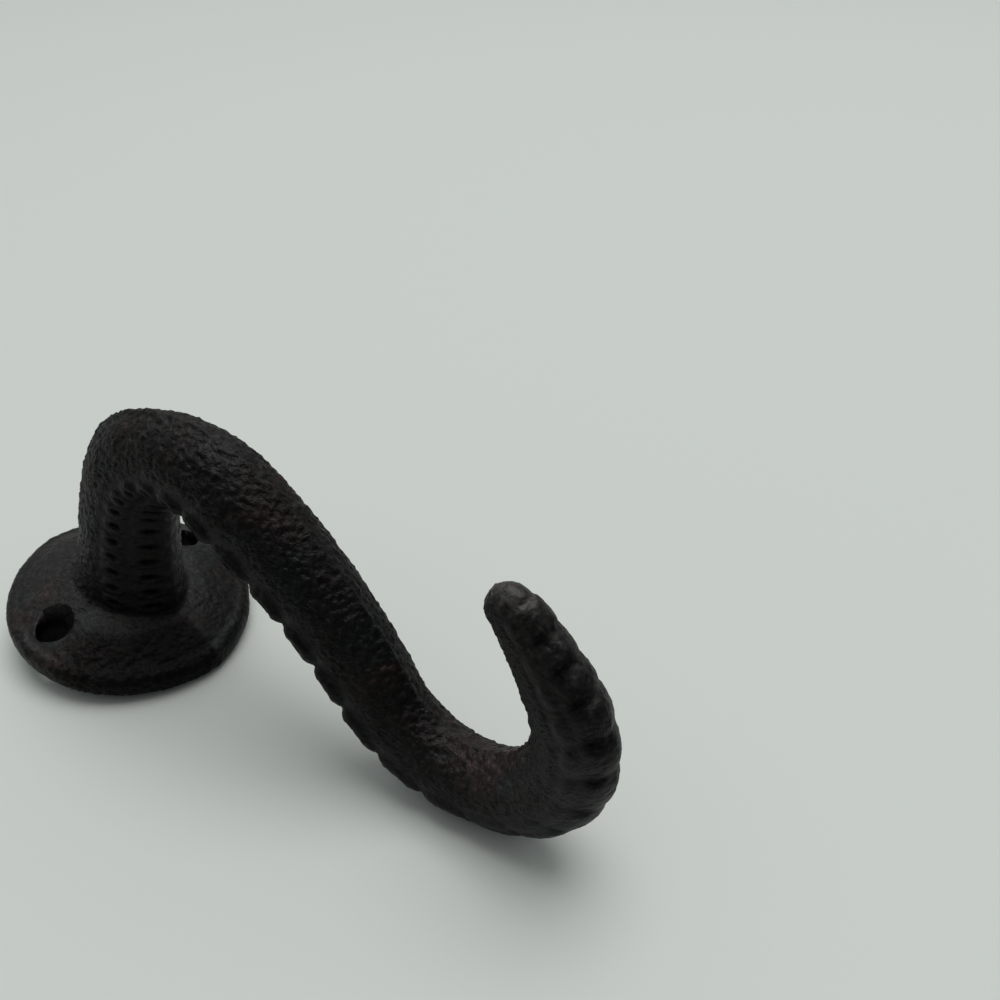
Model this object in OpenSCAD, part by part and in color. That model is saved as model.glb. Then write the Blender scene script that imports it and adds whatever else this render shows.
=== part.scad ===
// Cast-iron wall hook in the shape of a tentacle, poured as one piece.
// The back of the plate lies on z = 0 with its centre at the origin. +Z points straight out
// of the wall and +X points down the wall, so the arm lies in the plane y = 0.

/* [Wall plate] */
// Length of the plate along the arm's plane
plate_l = 44; // [41:1:50]
// Width of the plate across the arm's plane
plate_w = 40; // [36:1:44]
// Thickness of the plate at its rim
rim_t = 5; // [4.2:0.2:6]
// Rounding of the rim's two edges
rim_round = 2; // [0.6:0.1:2.1]
// Height of the plate's crown where the stem leaves it
crown_h = 8.8; // [7.4:0.2:9.4]
// How far the crown's slope bulges above a straight cone
crown_bulge = 0.5; // [0.1:0.1:1]

/* [Screw holes] */
// Diameter of the two screw holes
hole_d = 5.2; // [4:0.1:6.4]
// Distance between the two screw holes
hole_pitch = 29.2; // [27:0.2:29.4]
// How far the holes lie on the far side of the stem from the arm
hole_back = 2; // [0:0.2:4]
// Straight length of each hole, from the wall to its countersink
hole_straight = 5.6; // [3:0.2:6]
// Full angle of the countersink
sink_angle = 90; // [60:5:100]
// Largest diameter of each countersink
sink_d = 7.8; // [7:0.2:9]

/* [Line of the arm] */
// How far the foot of the stem stands from the plate's centre
stem_x = 1.2; // [0:0.2:2]
// Length of the stem's centre line, from the wall
stem_len = 32.4; // [29:0.2:37]
// How far the stem leans over along its length, in degrees
stem_turn = 14; // [8:1:18]
// Radius of the upper bend's centre line
top_bend_r = 17; // [15:0.5:19]
// Turn of the upper bend, in degrees
top_bend_turn = 100.5; // [92:0.5:106]
// Length of the falling arm's centre line
fall_len = 35.5; // [30:0.5:40]
// Turn of the falling arm, in degrees
fall_turn = 28; // [20:1:32]
// Radius of the lower bend's centre line
low_bend_r = 17; // [15:0.5:20]
// Turn of the lower bend, back towards the tip, in degrees
low_bend_turn = 178; // [166:1:184]
// Length of the tip's centre line
tip_len = 14; // [11:0.5:19]
// Turn of the tip, in degrees
tip_turn = 12.5; // [6:0.5:20]

/* [Thickness of the arm] */
// Diameter of the stem at the wall
foot_d = 20.6; // [18:0.2:21]
// Diameter where the stem runs into the upper bend
shoulder_d = 15.8; // [13.8:0.2:16.4]
// Diameter half way round the upper bend
crest_d = 13.4; // [12:0.2:15]
// Diameter where the upper bend ends
elbow_d = 14.4; // [13:0.2:16]
// Diameter where the lower bend begins
wrist_d = 12.4; // [10.8:0.1:13.6]
// Diameter past the middle of the lower bend
bowl_d = 11.6; // [10:0.2:12.6]
// Diameter where the lower bend ends
curl_d = 9.8; // [8:0.1:11.6]
// Diameter at the tip's round end
tip_d = 6.4; // [4.6:0.1:8]
// Radius of the fillet where the stem meets the plate
foot_fillet = 1.6; // [1:0.2:2.4]

/* [Suckers and casting ridge] */
// Height of the suckers above the arm's skin on the stem
stem_sucker_h = 0.4; // [0.2:0.1:1]
// Height of the suckers on the falling arm
fall_sucker_h = 1.5; // [0.6:0.1:1.9]
// Height of the ribs that the suckers run into at the tip
tip_sucker_h = 1; // [0.4:0.1:1.4]
// Angle from the arm's plane to the middle of an inner sucker
inner_angle = 22; // [20:1:25]
// Half of the angle round the arm that an inner sucker takes up
inner_half = 20; // [16:1:22]
// Angle from the arm's plane to the middle of the outer sucker beside it
outer_angle = 62; // [58:1:68]
// Half of the angle round the arm that an outer sucker takes up
outer_half = 17; // [12:1:20]
// Depth of the slot across each sucker
slot_depth = 0.5; // [0:0.1:0.8]
// Half of the angle round the arm that a rib takes up at the tip
rib_half = 50; // [40:1:60]
// Distance between rows of suckers on the stem
row_stem = 3.8; // [3.6:0.1:5]
// Distance between rows of suckers on the falling arm
row_fall = 7.9; // [6:0.1:8.4]
// Distance between rows of suckers at the tip
row_tip = 4.3; // [4:0.1:6]
// How pointed the arm's section is at the casting's parting line, as a share of its radius
pointed = 0.2; // [0.05:0.05:0.3]
// The same for the stem
stem_pointed = 0.4; // [0.05:0.05:0.45]
// Height of the casting ridge along the back of the arm
ridge_h = 0.3; // [0.1:0.1:1]
// Half of the angle round the arm that the ridge takes up
ridge_half = 14; // [10:1:24]

/* [Hidden] */
iron = [0.13, 0.12, 0.12];

// The arm's centre line is five arcs, each one tangent to the last: [length, turn in degrees].
function arc_len(radius, turn) = radius * turn * PI / 180;
runs = [
    [stem_len, stem_turn],
    [arc_len(top_bend_r, top_bend_turn), top_bend_turn],
    [fall_len, fall_turn],
    [arc_len(low_bend_r, low_bend_turn), -low_bend_turn],
    [tip_len, -tip_turn]
];
function run_end(i) = i < 0 ? 0 : run_end(i - 1) + runs[i][0];
joint_s = [for (i = [-1 : len(runs) - 1]) run_end(i)];
arm_len = joint_s[len(runs)];
// Places along the arm where its thickness is set: the ends of the arcs and the crest of the first bend.
knots = [
    [0, foot_d], [joint_s[1], shoulder_d], [(joint_s[1] + joint_s[2]) / 2, crest_d],
    [joint_s[2], elbow_d], [joint_s[3], wrist_d], [joint_s[3] + runs[3][0] * 0.6, bowl_d],
    [joint_s[4], curl_d], [arm_len, tip_d]
];

// A point of the centre line and its heading, [x, z, degrees from +Z], after s of an arc.
function along(p, bend, s) =
    let (rate = bend * PI / 180, a = p[2], b = a + bend * s)
    [p[0] + (cos(a) - cos(b)) / rate, p[1] + (sin(b) - sin(a)) / rate, b];
function centre(s, i = 0, p = [stem_x, 0, 0]) =
    let (length = runs[i][0], bend = runs[i][1] / length)
    (s <= length || i == len(runs) - 1)
        ? along(p, bend, s)
        : centre(s - length, i + 1, along(p, bend, length));

function body_r(s) = lookup(s, knots) / 2;

// The fillet widens the stem as it comes down to the plate, and ends a little inside the crown.
fillet_low = crown_h - foot_fillet * 0.4;
fillet_top = fillet_low + foot_fillet;
function fillet(s) =
    let (drop = min(fillet_top - s, foot_fillet))
    drop <= 0 ? 0 : foot_fillet - sqrt(foot_fillet * foot_fillet - drop * drop);

// Rows of suckers, as the places along the arm where one row ends and the next begins.
row_first = fillet_top;
row_last = arm_len;
pitch_steps = [
    [0, row_stem], [joint_s[1], row_stem], [joint_s[2], row_fall],
    [joint_s[3], row_fall], [joint_s[4], row_tip], [arm_len, row_tip]
];
height_steps = [
    [0, stem_sucker_h], [joint_s[1], stem_sucker_h], [joint_s[2], fall_sucker_h],
    [joint_s[3], fall_sucker_h], [arm_len, tip_sucker_h]
];
function row_edges(s) = s > row_last ? [] : concat([s], row_edges(s + lookup(s, pitch_steps)));
edges = row_edges(row_first);

// Height of the suckers over the skin: across is a place round the arm, and t, from -1 to 1,
// a place between two row edges. Each side has an inner and an outer column of suckers, and a
// sucker is a round pad, from -1 to 1 both ways, with a slot across its middle. Round the lower
// bend the four suckers of a row run together into one rib, which has no slots.
rib_steps = [[joint_s[3], 0], [(joint_s[3] + joint_s[4]) / 2, 1]];
function pad(w, t) = sqrt(max(0, 1 - w * w - t * t));
function notch(w, t) = max(0, 1 - pow(w / 0.62, 2) - pow(t / 0.5, 2));
function sucker(across, t, s) =
    let (
        a = abs(across),
        rib = lookup(s, rib_steps),
        w = (a - inner_angle) / inner_half,
        v = (a - outer_angle) / outer_half,
        pads = max((1 - 0.2 * rib) * pad(w, t), (1 - 0.6 * rib) * pad(v, t), rib * pad(a / rib_half, t)),
        slots = max(notch(w, t), notch(v, t))
    )
    lookup(s, height_steps) * pads - slot_depth * (1 - rib) * slots;

function ridge(across) = ridge_h * max(0, 1 - (180 - abs(across)) / ridge_half);
// The arm's section is two arcs that meet in a blunt edge at the front and at the back.
point_steps = [[0, stem_pointed], [joint_s[1], stem_pointed], [joint_s[2], pointed], [arm_len, pointed]];
function section(across, p) =
    sqrt(pow(1 + p / 2, 2) - pow(p * cos(across), 2)) - p * abs(sin(across));
function skin(across, s) =
    body_r(s) * section(across, lookup(s, point_steps)) + ridge(across) + fillet(s);

// Angles round the arm, from the middle of the suckers to the casting ridge on the back.
inner_edge = inner_angle + inner_half;
outer_edge = outer_angle + outer_half;
half_turn = concat(
    [for (i = [1 : 6]) inner_edge * i / 6],
    [for (i = [1 : 4]) inner_edge + (outer_edge - inner_edge) * i / 4],
    [for (i = [1 : 3]) outer_edge + (180 - ridge_half - outer_edge) * i / 3]
);
turn = concat([0], half_turn, [180], [for (i = [len(half_turn) - 1 : -1 : 0]) -half_turn[i]]);
sides = len(turn);

// One ring of points round the centre line.
function ring(s, t) =
    let (p = centre(s), out = [cos(p[2]), 0, -sin(p[2])], middle = [p[0], 0, p[1]])
    [for (a = turn)
        let (r = skin(a, s) + (t == undef ? 0 : sucker(a, t, s)))
        middle + r * (out * cos(a) + [0, sin(a), 0])];

// Rings from inside the plate up the fillet, through the rows, and round the tip's end.
foot_s = rim_t / 2;
foot_rings = 4;
row_rings = 5;
cap_rings = 4;
foot_points = concat(
    [ring(foot_s)],
    [for (i = [foot_rings : -1 : 1]) ring(fillet_top - foot_fillet * sin(90 * i / foot_rings))]
);
row_points = [
    for (k = [0 : len(edges) - 2], j = [0 : row_rings - 1])
        let (t = 2 * j / row_rings - 1)
        ring((edges[k] + edges[k + 1]) / 2 + t * (edges[k + 1] - edges[k]) / 2, t)
];
last_edge = edges[len(edges) - 1];
end_rings = max(1, floor((arm_len - last_edge) / 2));
end_points = [
    for (i = [0 : end_rings - 1]) ring(last_edge + (arm_len - last_edge) * i / end_rings)
];
cap_points = [
    for (i = [0 : cap_rings - 1])
        let (p = centre(arm_len), a = 90 * i / cap_rings, reach = tip_d / 2 * sin(a))
        [for (q = ring(arm_len)) let (m = [p[0], 0, p[1]])
            m + (q - m) * cos(a) + reach * [sin(p[2]), 0, cos(p[2])]]
];
rings = concat(foot_points, row_points, end_points, cap_points);

module arm() {
    points = [for (r = rings, q = r) q];
    n = len(rings);
    tip = centre(arm_len);
    tip_point = [tip[0] + tip_d / 2 * sin(tip[2]), 0, tip[1] + tip_d / 2 * cos(tip[2])];
    walls = [
        for (i = [0 : n - 2], j = [0 : sides - 1])
            let (a = i * sides + j, b = i * sides + (j + 1) % sides)
            each [[a, b + sides, b], [a, a + sides, b + sides]]
    ];
    foot_cap = [for (j = [1 : sides - 2]) [0, j, j + 1]];
    tip_cap = [
        for (j = [0 : sides - 1]) [(n - 1) * sides + (j + 1) % sides, (n - 1) * sides + j, n * sides]
    ];
    polyhedron(points = concat(points, [tip_point]), faces = concat(walls, foot_cap, tip_cap));
}

// The plate is where two equal domes cross, each set off to one side of the arm's plane.
// That makes its outline come to a slight point, and its crown to a ridge, along the plane.
dome_r = (plate_l * plate_l + plate_w * plate_w) / (4 * plate_w);
dome_shift = dome_r - plate_w / 2;
crown_r = foot_d / 2;
dome_steps = 6;
edge_steps = 3;
dome_profile = concat(
    [[0, 0]],
    [for (i = [0 : edge_steps]) let (a = -90 + 90 * i / edge_steps)
        [dome_r - rim_round + rim_round * cos(a), rim_round + rim_round * sin(a)]],
    [for (i = [0 : edge_steps]) let (a = 90 * i / edge_steps)
        [dome_r - rim_round + rim_round * cos(a), rim_t - rim_round + rim_round * sin(a)]],
    [for (i = [1 : dome_steps]) let (f = i / dome_steps, start = dome_r - rim_round)
        [start + (crown_r - start) * f, rim_t + (crown_h - rim_t) * f + crown_bulge * sin(180 * f)]],
    [[0, crown_h]]
);
module dome() {
    rotate_extrude($fn = 96) polygon(dome_profile);
}
module plate() {
    intersection() {
        translate([0, dome_shift, 0]) dome();
        translate([0, -dome_shift, 0]) dome();
    }
}

// A screw hole is straight from the wall, opens in a countersink, and is clear above it.
sink_h = (sink_d - hole_d) / 2 / tan(sink_angle / 2);
sink_profile = [
    [0, hole_straight - hole_d / 4], [hole_d / 2, hole_straight], [sink_d / 2, hole_straight + sink_h],
    [sink_d / 2, crown_h + foot_fillet + 2], [0, crown_h + foot_fillet + 2]
];
module screw_hole() {
    translate([0, 0, -1]) cylinder(h = hole_straight + 1, d = hole_d, $fn = 48);
    rotate_extrude($fn = 48) polygon(sink_profile);
}

module tentacle_hook() {
    color(iron) difference() {
        union() {
            plate();
            arm();
        }
        for (side = [-1, 1]) translate([-hole_back, side * hole_pitch / 2, 0]) screw_hole();
    }
}

tentacle_hook();
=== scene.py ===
"""Cast-iron tentacle wall hook: the detailed casting, its iron, a pale ground and soft light."""
import bpy, bmesh, math
import numpy as np
from mathutils import Matrix, Vector, noise


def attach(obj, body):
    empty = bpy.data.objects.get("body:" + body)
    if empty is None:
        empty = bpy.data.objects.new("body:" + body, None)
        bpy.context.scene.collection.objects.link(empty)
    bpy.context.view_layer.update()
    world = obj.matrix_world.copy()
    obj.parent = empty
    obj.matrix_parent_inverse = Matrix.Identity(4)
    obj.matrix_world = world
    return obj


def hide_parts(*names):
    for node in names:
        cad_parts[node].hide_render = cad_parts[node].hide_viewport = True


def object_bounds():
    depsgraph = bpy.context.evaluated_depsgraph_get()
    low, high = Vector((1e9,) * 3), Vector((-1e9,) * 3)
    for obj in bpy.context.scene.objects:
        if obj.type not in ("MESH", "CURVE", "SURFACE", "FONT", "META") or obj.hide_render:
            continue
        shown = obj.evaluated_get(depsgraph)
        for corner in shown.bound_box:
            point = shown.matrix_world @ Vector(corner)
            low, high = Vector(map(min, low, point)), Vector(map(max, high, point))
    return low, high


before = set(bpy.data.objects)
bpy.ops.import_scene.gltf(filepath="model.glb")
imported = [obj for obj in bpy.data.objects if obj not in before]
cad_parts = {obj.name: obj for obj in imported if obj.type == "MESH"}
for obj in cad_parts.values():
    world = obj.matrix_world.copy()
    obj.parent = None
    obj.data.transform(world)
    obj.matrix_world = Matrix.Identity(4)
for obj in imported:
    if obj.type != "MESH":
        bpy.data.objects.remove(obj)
CAD_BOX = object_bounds()
MM = 0.001

# ------------------------------------------------------------------ sizes in mm, as in the part's source
STEM_X = 1.2
BEND_R, TOP_TURN, LOW_TURN = 17.0, 100.5, 178
RUNS = [(32.4, 14.0), (BEND_R * math.radians(TOP_TURN), TOP_TURN), (35.5, 28.0),
        (BEND_R * math.radians(LOW_TURN), -LOW_TURN), (14.0, -12.5)]      # length, degrees turned
JOINT_S = np.concatenate([[0.0], np.cumsum([r[0] for r in RUNS])])
BOWL_AT = 0.6
KNOT_S = np.insert(JOINT_S, [2, 4], [(JOINT_S[1] + JOINT_S[2]) / 2, JOINT_S[3] + RUNS[3][0] * BOWL_AT])
KNOT_D = [20.6, 15.8, 13.4, 14.4, 12.4, 11.6, 9.8, 6.4]
ARM_LEN = float(JOINT_S[-1])

CROWN_H, CROWN_BULGE, RIM_T, RIM_ROUND = 8.8, 0.5, 5.0, 2.0
PLATE_L, PLATE_W = 44.0, 40.0
DOME_R = (PLATE_L ** 2 + PLATE_W ** 2) / (4 * PLATE_W)
DOME_SHIFT = DOME_R - PLATE_W / 2
CROWN_R = KNOT_D[0] / 2
FOOT_FILLET = 1.6
FILLET_LOW = CROWN_H - 0.4 * FOOT_FILLET
FILLET_TOP = FILLET_LOW + FOOT_FILLET
HOLES = [(-2.0, -14.6), (-2.0, 14.6)]
HOLE_D, HOLE_STRAIGHT, SINK_D = 5.2, 5.6, 7.8

SUCKER_S = [0, JOINT_S[1], JOINT_S[2], JOINT_S[3], ARM_LEN]
SUCKER_H = [0.4, 0.4, 1.5, 1.5, 1.0]
SLOT_DEPTH, SLOT_HALF, SLOT_REACH = 0.5, 0.5, 0.62                        # the last two are shares of a pad
INNER, INNER_HALF, OUTER, OUTER_HALF, RIB_HALF = 22.0, 20.0, 62.0, 17.0, 50.0    # degrees round the arm
ROW_PITCH = [3.8, 3.8, 7.9, 7.9, 4.3]                                     # at the arm's first five joints
POINTED, RIDGE_H = [0.4, 0.4, 0.2, 0.2], 0.3                              # at the first four joints
RIDGE_HALF = 7.0                                                          # degrees

# ------------------------------------------------------------------ fineness of the meshes
VOXEL = 0.38                                                              # about 190,000 triangles
ARM_STEP, ARM_AROUND, TIP_RINGS = 0.36, 132, 12
DOME_AROUND, HOLE_AROUND, ROUND_STEPS, CROWN_STEPS = 192, 72, 6, 24
LINE_STEP, CHUNK = 0.5, 8000


def centre(s):
    """x, z and heading (radians from +Z) of the centre line after s mm."""
    x, z, a = STEM_X, 0.0, 0.0
    for i, (length, turned_by) in enumerate(RUNS):
        b = math.radians(turned_by) / length
        last = s <= length or i == len(RUNS) - 1
        e = a + b * (s if last else length)
        x += (math.cos(a) - math.cos(e)) / b
        z += (math.sin(e) - math.sin(a)) / b
        a = e
        if last:
            return x, z, a
        s -= length


def body_r(s):
    """The arm's radius without suckers."""
    return np.interp(s, KNOT_S, KNOT_D) / 2


def fillet(s):
    """How far the foot's fillet stands off the stem."""
    drop = min(FILLET_TOP - s, FOOT_FILLET)
    return 0.0 if drop <= 0 else FOOT_FILLET - math.sqrt(max(0.0, FOOT_FILLET ** 2 - drop ** 2))


def row_edges():
    """Where one row of suckers ends and the next begins."""
    s, edges = FILLET_TOP, []
    while s <= ARM_LEN:
        edges.append(s)
        s += float(np.interp(s, JOINT_S[:5], ROW_PITCH))
    return edges


EDGES = row_edges()


def in_row(s):
    """Place in its row, from -1 to 1 along the arm, or None where there are no suckers."""
    k = np.searchsorted(EDGES, s, side="right") - 1
    if k < 0 or k >= len(EDGES) - 1:
        return None
    return 2 * (s - EDGES[k]) / (EDGES[k + 1] - EDGES[k]) - 1


def rib_at(s):
    """Round the lower bend the pads of a row run together in a rib: 0 before it, 1 after."""
    return float(np.interp(s, [JOINT_S[3], (JOINT_S[3] + JOINT_S[4]) / 2], [0.0, 1.0]))


def lump(w, t):
    """A round pad from -1 to 1 both ways."""
    return np.sqrt(np.clip(1 - w * w - t * t, 0, None))


def notch(w, t):
    """The slot across a pad's middle, 1 at its deepest."""
    return np.clip(1 - (w / SLOT_REACH) ** 2 - (t / SLOT_HALF) ** 2, 0, None)


def sucker(across, s):
    """Height of the suckers over the skin, at angles across (degrees, array) and place s."""
    t = in_row(s)
    if t is None:
        return np.zeros_like(across)
    size = float(np.interp(s, SUCKER_S, SUCKER_H))
    rib = rib_at(s)
    a = np.abs(across)
    w, v = (a - INNER) / INNER_HALF, (a - OUTER) / OUTER_HALF
    pads = np.maximum((1 - 0.2 * rib) * lump(w, t), (1 - 0.6 * rib) * lump(v, t))
    pads = np.maximum(pads, rib * lump(a / RIB_HALF, 0) * (0.45 + 0.55 * lump(0, t)))
    return size * pads - SLOT_DEPTH * (1 - rib) * np.maximum(notch(w, t), notch(v, t))


def skin(across, s):
    """The arm's radius at angles across: two arcs that meet in blunt edges, the back's ridge, the fillet."""
    r, a = body_r(s), np.radians(across)
    p = np.interp(s, JOINT_S[:4], POINTED)
    e, rho = p * r, (1 + p / 2) * r
    oval = np.sqrt(rho ** 2 - (e * np.cos(a)) ** 2) - e * np.abs(np.sin(a))
    ridge = RIDGE_H * np.clip(1 - (180 - np.abs(across)) / RIDGE_HALF, 0, None)
    return oval + ridge + fillet(s)


# ------------------------------------------------------------------ meshes
def tube_faces(rings, around):
    """The faces between rings of points that lie one after the other."""
    faces = []
    for i in range(rings - 1):
        for j in range(around):
            k = (j + 1) % around
            faces.append((i * around + j, i * around + k, (i + 1) * around + k, (i + 1) * around + j))
    return faces


def arm_mesh():
    """The arm with its suckers, from inside the plate to its rounded tip."""
    turn = np.linspace(-180, 180, ARM_AROUND, endpoint=False)
    cos, sin = np.cos(np.radians(turn)), np.sin(np.radians(turn))
    side = np.array([0, 1, 0])
    rings = []
    for s in np.arange(RIM_T / 2, ARM_LEN, ARM_STEP):
        x, z, a = centre(s)
        r = skin(turn, s) + sucker(turn, s)
        out = np.array([math.cos(a), 0, -math.sin(a)])
        rings.append(np.array([x, 0, z]) + (r * cos)[:, None] * out + (r * sin)[:, None] * side)
    x, z, a = centre(ARM_LEN)
    end, tip_r = rings[-1], KNOT_D[-1] / 2
    mid, ahead = np.array([x, 0, z]), np.array([math.sin(a), 0, math.cos(a)])
    for i in range(1, TIP_RINGS):
        b = math.radians(90 * i / TIP_RINGS)
        rings.append(mid + (end - mid) * math.cos(b) + tip_r * math.sin(b) * ahead)
    n = len(rings)
    co = np.concatenate(rings + [[mid + tip_r * ahead], [np.array([STEM_X, 0, RIM_T / 2])]])
    faces = tube_faces(n, ARM_AROUND)
    tip, root = n * ARM_AROUND, n * ARM_AROUND + 1
    for j in range(ARM_AROUND):
        k = (j + 1) % ARM_AROUND
        faces.append(((n - 1) * ARM_AROUND + j, (n - 1) * ARM_AROUND + k, tip))
        faces.append((k, j, root))
    return co, faces


def turned_mesh(profile, x, y, around):
    """A solid turned from (radius, height) points, about an upright axis through x, y."""
    co = []
    for r, z in profile:
        for j in range(around):
            b = 2 * math.pi * j / around
            co.append((x + r * math.cos(b), y + r * math.sin(b), z))
    last = (len(profile) - 1) * around
    faces = tube_faces(len(profile), around)
    faces.append(tuple(range(around - 1, -1, -1)))
    faces.append(tuple(last + j for j in range(around)))
    return np.array(co), faces


def dome_profile():
    """One of the two domes whose common part is the plate: rounded rim, then the rise to the crown."""
    start = DOME_R - RIM_ROUND
    pts = []
    for first, height in ((-90, RIM_ROUND), (0, RIM_T - RIM_ROUND)):
        for i in range(ROUND_STEPS + 1):
            a = math.radians(first + 90 / ROUND_STEPS * i)
            pts.append((start + RIM_ROUND * math.cos(a), height + RIM_ROUND * math.sin(a)))
    for i in range(1, CROWN_STEPS + 1):
        f = i / CROWN_STEPS
        pts.append((start + (CROWN_R - start) * f,
                    RIM_T + (CROWN_H - RIM_T) * f + CROWN_BULGE * math.sin(math.pi * f)))
    return pts


def hole_profile():
    """The bore and its 90 degree countersink, open above and below."""
    below, above = 1.0, FOOT_FILLET + 4
    sink = (SINK_D - HOLE_D) / 2
    return [(HOLE_D / 2, -below), (HOLE_D / 2, HOLE_STRAIGHT), (SINK_D / 2, HOLE_STRAIGHT + sink),
            (SINK_D / 2, CROWN_H + above)]


def new_object(name, co, faces):
    """An object from points in mm."""
    me = bpy.data.meshes.new(name)
    me.from_pydata([tuple(p) for p in np.asarray(co) * MM], [], faces)
    me.update()
    o = bpy.data.objects.new(name, me)
    bpy.context.scene.collection.objects.link(o)
    return o


def apply_modifiers(o):
    dg = bpy.context.evaluated_depsgraph_get()
    me = bpy.data.meshes.new_from_object(o.evaluated_get(dg))
    old = o.data
    o.modifiers.clear()
    o.data = me
    bpy.data.meshes.remove(old)


def boolean(o, other, how):
    m = o.modifiers.new("b", "BOOLEAN")
    m.operation, m.object, m.solver = how, other, "EXACT"
    apply_modifiers(o)
    bpy.data.objects.remove(other, do_unlink=True)


def casting():
    """Plate and arm run into one skin, as cast, then the screw holes cut through it."""
    o = new_object("casting", *turned_mesh(dome_profile(), 0, DOME_SHIFT, DOME_AROUND))
    other = new_object("dome", *turned_mesh(dome_profile(), 0, -DOME_SHIFT, DOME_AROUND))
    boolean(o, other, "INTERSECT")
    arm = new_object("arm", *arm_mesh())
    bm = bmesh.new()
    bm.from_mesh(o.data)
    bm.from_mesh(arm.data)
    bm.to_mesh(o.data)
    bm.free()
    bpy.data.objects.remove(arm, do_unlink=True)
    m = o.modifiers.new("r", "REMESH")
    m.mode, m.voxel_size, m.adaptivity, m.use_smooth_shade = "VOXEL", VOXEL * MM, 0.0, True
    apply_modifiers(o)
    for x, y in HOLES:
        boolean(o, new_object("cutter", *turned_mesh(hole_profile(), x, y, HOLE_AROUND)), "DIFFERENCE")
    return o


# ------------------------------------------------------------------ the cast skin
GRAIN_SIZE, GRAIN_LIFT, GRAIN_BASE = 0.85, 0.26, 0.02      # sand grain, in mm
SWELL_SIZE, SWELL_LIFT = 4.5, 0.10                         # the surface's slow unevenness, in mm
PROUD = 0.1                                                # how far the grain may pass the CAD box
# the first two set how strong the painted shade is in the slots and between the ribs
SLOT_TINT, RIB_TINT, RIB_MID, RIB_SPREAD = 0.6, 0.4, 30, 20
# painted light: the iron is made lighter where it faces this way, up and to the left
PAINTED_LIGHT_FROM, PAINTED_LIGHT_START = (-0.5, 0.0, 0.87), 0.12
SHADE_LEAST, SHADE_PAINTED_LIGHT = 0.34, 1.08
# painted shade in the bores, painted light on the countersink walls
SHADE_BORE, SHADE_SINK = 0.1, 1.5
TIP_FROM, TIP_FADE = 118, 16                               # where the tip starts to turn lighter, along the arm


def read(me, what):
    """A mesh's co or normal as rows of three numbers."""
    values = np.empty(len(me.vertices) * 3)
    me.vertices.foreach_get(what, values)
    return values.reshape(-1, 3)


def places(co):
    """For points in mm: place along the arm, degrees round it, and 1 on the arm or 0 on the plate."""
    line = [(s,) + centre(s) for s in np.arange(0.0, ARM_LEN + 0.01, LINE_STEP)]
    line_xz = np.array([(x, z) for _, x, z, _ in line])
    s_at, turn, on = np.empty(len(co)), np.empty(len(co)), np.empty(len(co))
    for lo in range(0, len(co), CHUNK):
        part = slice(lo, lo + CHUNK)
        c = co[part]
        d = ((c[:, None, 0] - line_xz[None, :, 0]) ** 2 + (c[:, None, 2] - line_xz[None, :, 1]) ** 2)
        k = d.argmin(1)
        a = np.array([line[i][3] for i in k])
        dx, dz = c[:, 0] - line_xz[k, 0], c[:, 2] - line_xz[k, 1]
        front = dx * np.cos(a) - dz * np.sin(a)
        s_at[part] = np.array([line[i][0] for i in k])
        turn[part] = np.degrees(np.arctan2(c[:, 1], front))
        far = np.hypot(front, c[:, 1]) - body_r(s_at[part]) * 1.1
        on[part] = np.clip(1.6 - far / 1.5, 0, 1) * np.clip((c[:, 2] - 6.5) / 2.5, 0, 1)
    return s_at, turn, on


def field(co, size, octaves, seed):
    """Fractal noise at each point."""
    return np.array([noise.fractal(Vector(v), 0.9, 2.0, octaves) for v in co / size + seed])


def slot_painted_shade(s_at, turn, on):
    """How much painted shade lies in the slots across the pads and the hollows between the ribs, from 0 to 1.
    """
    slot_shading = np.zeros(len(s_at))
    for i in np.nonzero(on > 0.5)[0]:
        t = in_row(s_at[i])
        if t is None:
            continue
        a = abs(turn[i])
        rib = rib_at(s_at[i])
        deep = max(1 - ((a - c) / (0.66 * h)) ** 2 - (t / 0.4) ** 2
                   for c, h in ((INNER, INNER_HALF), (OUTER, OUTER_HALF)))
        gap = 1 - ((1 - abs(t)) / 0.6) ** 2 - ((a - RIB_MID) / RIB_SPREAD) ** 2
        slot_shading[i] = max(0.0, SLOT_TINT * (1 - rib) * deep, RIB_TINT * rib * gap)
    return slot_shading


def shades(co, nor, s_at, on, plate, crook):
    """How light the iron is: painted light where it faces up and left, painted shade under the arch, on the
    plate under the arm and black in the bores, painted light on the countersinks, and lighter towards the
    tip.
    """
    # painted light: lighter where the iron faces up and to the left
    painted_lit = np.clip(nor @ np.array(PAINTED_LIGHT_FROM) + PAINTED_LIGHT_START, 0, 1)
    shade = SHADE_LEAST + SHADE_PAINTED_LIGHT * painted_lit ** 2
    # painted shade on the plate under the arch
    shade *= 1 - 0.66 * plate * crook
    # painted shade on the plate's +x, +y quarter, under the arm
    shade *= 1 - 0.3 * plate * np.clip(co[:, 1] / 3, 0, 1) * np.clip((co[:, 0] - 1) / 5, 0, 1)
    # lighter towards the tip
    shade *= 1 + 0.8 * on * np.clip((s_at - TIP_FROM) / TIP_FADE, 0, 1)
    # painted shade, near black, in the bores and painted light on the countersink walls
    bore_r, sink_r = HOLE_D / 2 + 0.12, SINK_D / 2 + 0.05
    for x, y in HOLES:
        far = np.hypot(co[:, 0] - x, co[:, 1] - y)
        in_bore = (far < bore_r) & (co[:, 2] < HOLE_STRAIGHT - 0.1) & (on < 0.5)
        shade = np.where(in_bore, SHADE_BORE, shade)
        shade = np.where((far >= bore_r) & (far < sink_r) & (on < 0.5), SHADE_SINK, shade)
    return shade


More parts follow.
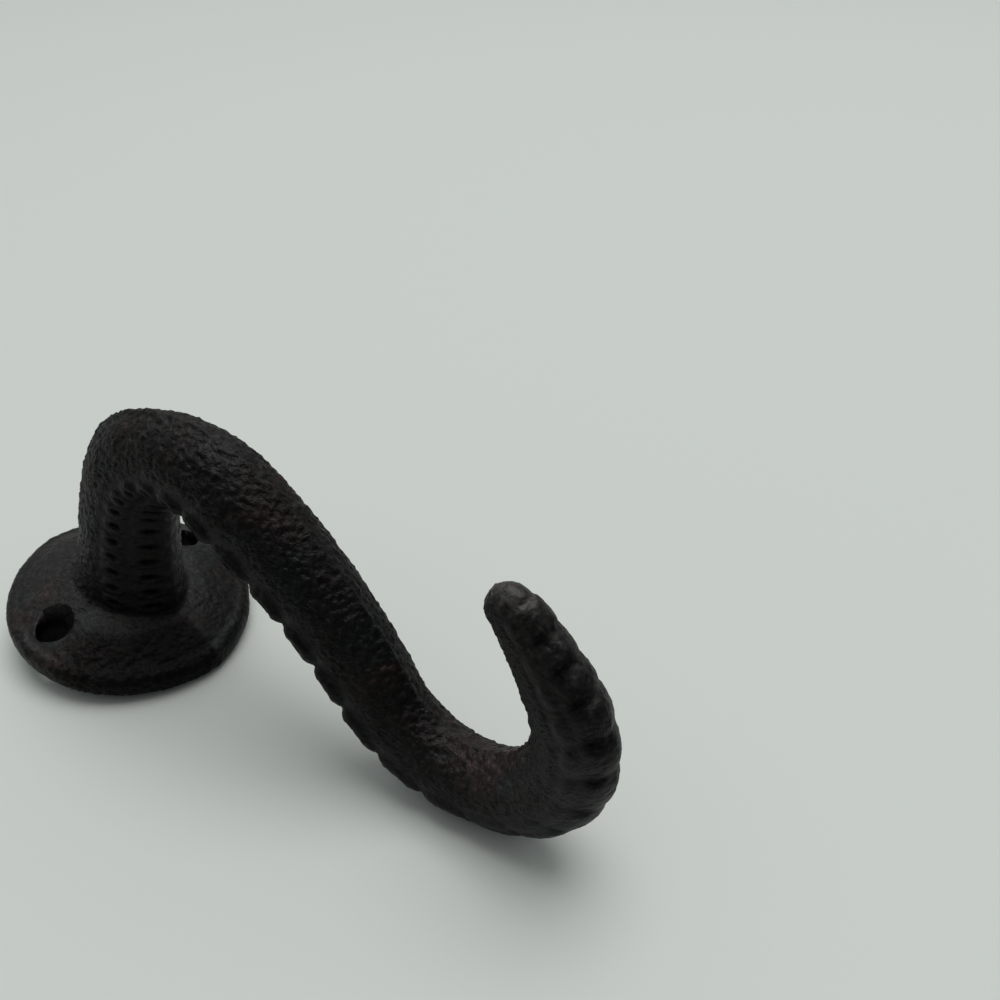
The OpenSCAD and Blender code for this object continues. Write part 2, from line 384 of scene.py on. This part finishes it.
def roughen(me):
    """Lifts the sand grain and the swell on the mesh, and keeps what the iron's nodes need of them."""
    co, nor = read(me, "co") / MM, read(me, "normal")
    s_at, turn, on = places(co)
    band = np.clip((92 - np.abs(turn)) / 8, 0, 1) * on          # 1 on the suckers, smoother iron
    in_hole = np.zeros(len(co))
    for x, y in HOLES:
        in_hole = np.maximum(in_hole, np.hypot(co[:, 0] - x, co[:, 1] - y) < SINK_D / 2 + 0.2)
    back = np.clip((co[:, 2] - 0.25) / 0.6, 0, 1)                # 0 on the flat back
    plate = 1 - on
    crook = np.clip((co[:, 0] - 1) / 5, 0, 1) * np.clip((0.4 - co[:, 1]) / 0.8, 0, 1)
    rough = (1 - 0.65 * band) * (1 - 0.85 * in_hole * (on < 0.5)) * back * (1 - 0.55 * plate * (1 - crook))
    slot = slot_painted_shade(s_at, turn, on)
    grain = field(co, GRAIN_SIZE, 2, 3.7)
    swell = field(co, SWELL_SIZE, 2, 11.3)
    lift = rough * (GRAIN_LIFT * grain + GRAIN_BASE) + SWELL_LIFT * swell * back * (1 - in_hole)
    low, high = (np.array([v * 1000 for v in corner]) for corner in CAD_BOX)
    new = np.clip(co + nor * lift[:, None], low - PROUD, high + PROUD)
    new[:, 2] = np.where(co[:, 2] < 0.2, co[:, 2], new[:, 2])
    me.vertices.foreach_set("co", (new * MM).ravel())
    me.update()
    shade = shades(co, read(me, "normal"), s_at, on, plate, crook)
    for name, values in (("band", band), ("coarse", rough), ("slot", slot), ("shade", shade),
                         ("red", plate * crook)):
        at = me.attributes.new(name, "FLOAT", "POINT")
        at.data.foreach_set("value", values.astype(np.float32))
    for p in me.polygons:
        p.use_smooth = True
    me.update()


# ------------------------------------------------------------------ iron
BLACK_IRON = (0.0068, 0.0063, 0.0066, 1)
RED_IRON = (0.0125, 0.0072, 0.0066, 1)
BLUE_IRON = (0.0045, 0.0088, 0.0100, 1)
RUSTY_IRON = (0.0150, 0.0085, 0.0078, 1)
WORN_IRON = (0.0125, 0.0120, 0.0120, 1)
# near-black painted shade for the slots and the hollows between the ribs
SLOT_SHADE_COLOUR = (0.0008, 0.0008, 0.001, 1)
SPECK_LIGHT = (2.6, 2.5, 2.4, 1)
FINE_SCALE, SAND_SCALE = 1900.0, 1050.0
RED_SCALE, BLUE_SCALE, DUST_SCALE = 60.0, 85.0, 150.0
BUMP_DEPTH = 0.0006


def put(nt, socket, value):
    """Links a socket, or sets a plain value."""
    if hasattr(value, "is_output"):
        nt.links.new(value, socket)
    else:
        socket.default_value = value


def node(nt, kind, inputs, **settings):
    nd = nt.nodes.new(kind)
    for k, v in settings.items():
        setattr(nd, k, v)
    for k, v in inputs.items():
        put(nt, nd.inputs[k], v)
    return nd


def math_(nt, op, a, b):
    return node(nt, "ShaderNodeMath", {0: a, 1: b}, operation=op).outputs[0]


def mix(nt, fac, a, b, blend="MIX"):
    return node(nt, "ShaderNodeMix", {0: fac, 6: a, 7: b}, data_type="RGBA", blend_type=blend).outputs[2]


def ramp(nt, fac, stops):
    nd = node(nt, "ShaderNodeValToRGB", {0: fac})
    cr = nd.color_ramp
    while len(cr.elements) > 1:
        cr.elements.remove(cr.elements[-1])
    cr.elements[0].position, cr.elements[0].color = stops[0][0], stops[0][1]
    for pos, col in stops[1:]:
        cr.elements.new(pos).color = col
    return nd.outputs[0]


def grey(v):
    return (v, v, v, 1)


def iron_material():
    """Black-brown cast iron: colour patches, sand specks, painted light and shade from the shade attribute,
    painted shade in the slots, and a bump finer than the mesh.
    """
    mat = bpy.data.materials.new("iron_casting")
    mat.use_nodes = True
    nt = mat.node_tree
    bsdf = nt.nodes["Principled BSDF"]
    tc = node(nt, "ShaderNodeTexCoord", {}).outputs["Object"]
    band, shade, red, slot, coarse = (
        node(nt, "ShaderNodeAttribute", {}, attribute_name=name).outputs["Fac"]
        for name in ("band", "shade", "red", "slot", "coarse"))

    def noise_tex(scale, detail, roughness, distortion):
        return node(nt, "ShaderNodeTexNoise",
                    {"Vector": tc, "Scale": scale, "Detail": detail, "Roughness": roughness,
                     "Distortion": distortion}).outputs["Fac"]

    def blend(a, share_a, b, share_b):
        return math_(nt, "ADD", math_(nt, "MULTIPLY", a, share_a), math_(nt, "MULTIPLY", b, share_b))

    fine = noise_tex(FINE_SCALE, 3.0, 0.6, 0.0)
    sand = noise_tex(SAND_SCALE, 2.0, 0.5, 0.5)
    patch_red = noise_tex(RED_SCALE, 3.0, 0.6, 0.5)
    patch_blue = noise_tex(BLUE_SCALE, 3.0, 0.6, 0.8)
    patch_dust = noise_tex(DUST_SCALE, 3.0, 0.6, 0.3)

    col = mix(nt, ramp(nt, patch_red, [(0.45, grey(0)), (0.63, grey(0.85))]), BLACK_IRON, RED_IRON)
    col = mix(nt, ramp(nt, patch_blue, [(0.52, grey(0)), (0.68, grey(0.8))]), col, BLUE_IRON)
    col = mix(nt, math_(nt, "MULTIPLY", red, 0.5), col, RUSTY_IRON)
    col = mix(nt, math_(nt, "MULTIPLY", band, 0.55), col, WORN_IRON)
    speck = ramp(nt, blend(sand, 0.6, fine, 0.4), [(0.38, grey(0.45)), (0.5, grey(1.0)), (0.62, SPECK_LIGHT)])
    col = mix(nt, 1.0, col, speck, "MULTIPLY")
    dust = ramp(nt, patch_dust, [(0.5, grey(0.75)), (0.7, grey(1.35))])
    col = mix(nt, 1.0, col, dust, "MULTIPLY")
    # painted light and shade: the colour is multiplied by the shade attribute
    lit = node(nt, "ShaderNodeCombineColor", {"Red": shade, "Green": shade, "Blue": shade}).outputs[0]
    col = mix(nt, 1.0, col, lit, "MULTIPLY")
    # painted shade in the slots and the hollows between the ribs: the colour goes near black and the sheen is
    # cut there
    dark = math_(nt, "MINIMUM", math_(nt, "MULTIPLY", slot, 1.8), 0.9)
    put(nt, bsdf.inputs["Base Color"], mix(nt, dark, col, SLOT_SHADE_COLOUR))

    gloss = ramp(nt, blend(sand, 0.5, patch_red, 0.5), [(0.3, grey(0.36)), (0.7, grey(0.6))])
    put(nt, bsdf.inputs["Roughness"], gloss)
    # the sheen follows the painted light and shade: stronger on painted light, weaker in painted shade
    shine = math_(nt, "ADD", math_(nt, "MULTIPLY", shade, 0.17), 0.05)
    shine = math_(nt, "MULTIPLY", shine, math_(nt, "SUBTRACT", 1.0, dark))
    put(nt, bsdf.inputs["Specular IOR Level"], shine)

    height = blend(sand, 0.7, fine, 0.3)
    depth = math_(nt, "ADD", math_(nt, "MULTIPLY", coarse, 0.85), 0.15)
    height = math_(nt, "MULTIPLY", height, depth)
    bump = node(nt, "ShaderNodeBump", {"Height": height, "Strength": 1.0, "Distance": BUMP_DEPTH})
    put(nt, bsdf.inputs["Normal"], bump.outputs[0])
    return mat


# ------------------------------------------------------------------ ground, light and camera
SLOPE = math.radians(8.32)                                  # the plate's tilt where the hook lies on a table
GROUND_AT = (0.02, 0, -0.0001)
GROUND_X, GROUND_Y = (-0.9, 0.14), (-0.16, 0.95)
GROUND_COLOUR = (0.66, 0.69, 0.665, 1)
SKY_TOWARD, SKY_STRENGTH = (-0.3, 0.2, 0.93), 0.66
SKY_TONES = [(0.0, (0.07, 0.075, 0.075, 1)), (0.4, (0.32, 0.335, 0.33, 1)), (0.95, (1.0, 1.04, 1.03, 1))]
WINDOW_AT, WINDOW_AIM = (-0.2, 0.35, 1.9), (0.03, 0, 0.02)
WINDOW_SIZE, WINDOW_POWER, WINDOW_COLOUR = 1.5, 19.0, (1.0, 0.99, 0.97)
CAM_POS = Vector((0.108714, -0.074077, 0.138551))
CAM_BACK = Vector((0.34757148, -0.67556361, 0.65023679))
CAM_UP = Vector((-0.4339445, 0.4988443, 0.75023099))
SENSOR, LENS = 36, 36 * 0.97782


def link(name, data):
    o = bpy.data.objects.new(name, data)
    bpy.context.scene.collection.objects.link(o)
    return o


def build_ground():
    """A pale sheet under the plate's lower edge and the lower bend."""
    me = bpy.data.meshes.new("ground")
    (x0, x1), (y0, y1) = GROUND_X, GROUND_Y
    me.from_pydata([(x0, y0, 0), (x1, y0, 0), (x1, y1, 0), (x0, y1, 0)], [], [(0, 1, 2, 3)])
    ground = link("ground", me)
    ground.matrix_world = Matrix.Translation(GROUND_AT) @ Matrix.Rotation(-SLOPE, 4, "Y")
    mat = bpy.data.materials.new("ground")
    mat.use_nodes = True
    bsdf = mat.node_tree.nodes["Principled BSDF"]
    bsdf.inputs["Base Color"].default_value = GROUND_COLOUR
    bsdf.inputs["Roughness"].default_value = 0.9
    bsdf.inputs["Specular IOR Level"].default_value = 0.2
    me.materials.append(mat)


def build_light():
    """A sky that is light overhead and dark low down, and one large soft window above."""
    world = bpy.data.worlds.new("world")
    bpy.context.scene.world = world
    world.use_nodes = True
    nt = world.node_tree
    sky = node(nt, "ShaderNodeTexCoord", {}).outputs["Generated"]
    along = node(nt, "ShaderNodeVectorMath", {0: sky, 1: SKY_TOWARD}, operation="DOT_PRODUCT")
    put(nt, nt.nodes["Background"].inputs["Color"], ramp(nt, along.outputs["Value"], SKY_TONES))
    nt.nodes["Background"].inputs["Strength"].default_value = SKY_STRENGTH
    light = bpy.data.lights.new("window", "AREA")
    light.shape, light.size, light.energy, light.color = "DISK", WINDOW_SIZE, WINDOW_POWER, WINDOW_COLOUR
    window = link("window", light)
    window.location = WINDOW_AT
    window.rotation_euler = (Vector(WINDOW_AIM) - Vector(WINDOW_AT)).to_track_quat("-Z", "Y").to_euler()


def build_camera():
    """The photograph's viewpoint, worked out from the outlines of the hooks in it."""
    lens = bpy.data.cameras.new("cam")
    lens.sensor_fit, lens.sensor_width, lens.sensor_height = "AUTO", SENSOR, SENSOR
    lens.lens = LENS
    lens.clip_start = 0.01
    cam = link("cam", lens)
    right = CAM_UP.cross(CAM_BACK).normalized()
    up = CAM_BACK.cross(right).normalized()
    turn = Matrix((right, up, CAM_BACK.normalized())).transposed().to_4x4()
    cam.matrix_world = Matrix.Translation(CAM_POS) @ turn
    bpy.context.scene.camera = cam


hook = casting()
roughen(hook.data)
hook.data.materials.clear()
hook.data.materials.append(iron_material())
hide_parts("tentacle_hook")
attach(hook, "root")

bpy.context.scene.view_settings.view_transform = "Standard"
build_ground()
build_light()
build_camera()
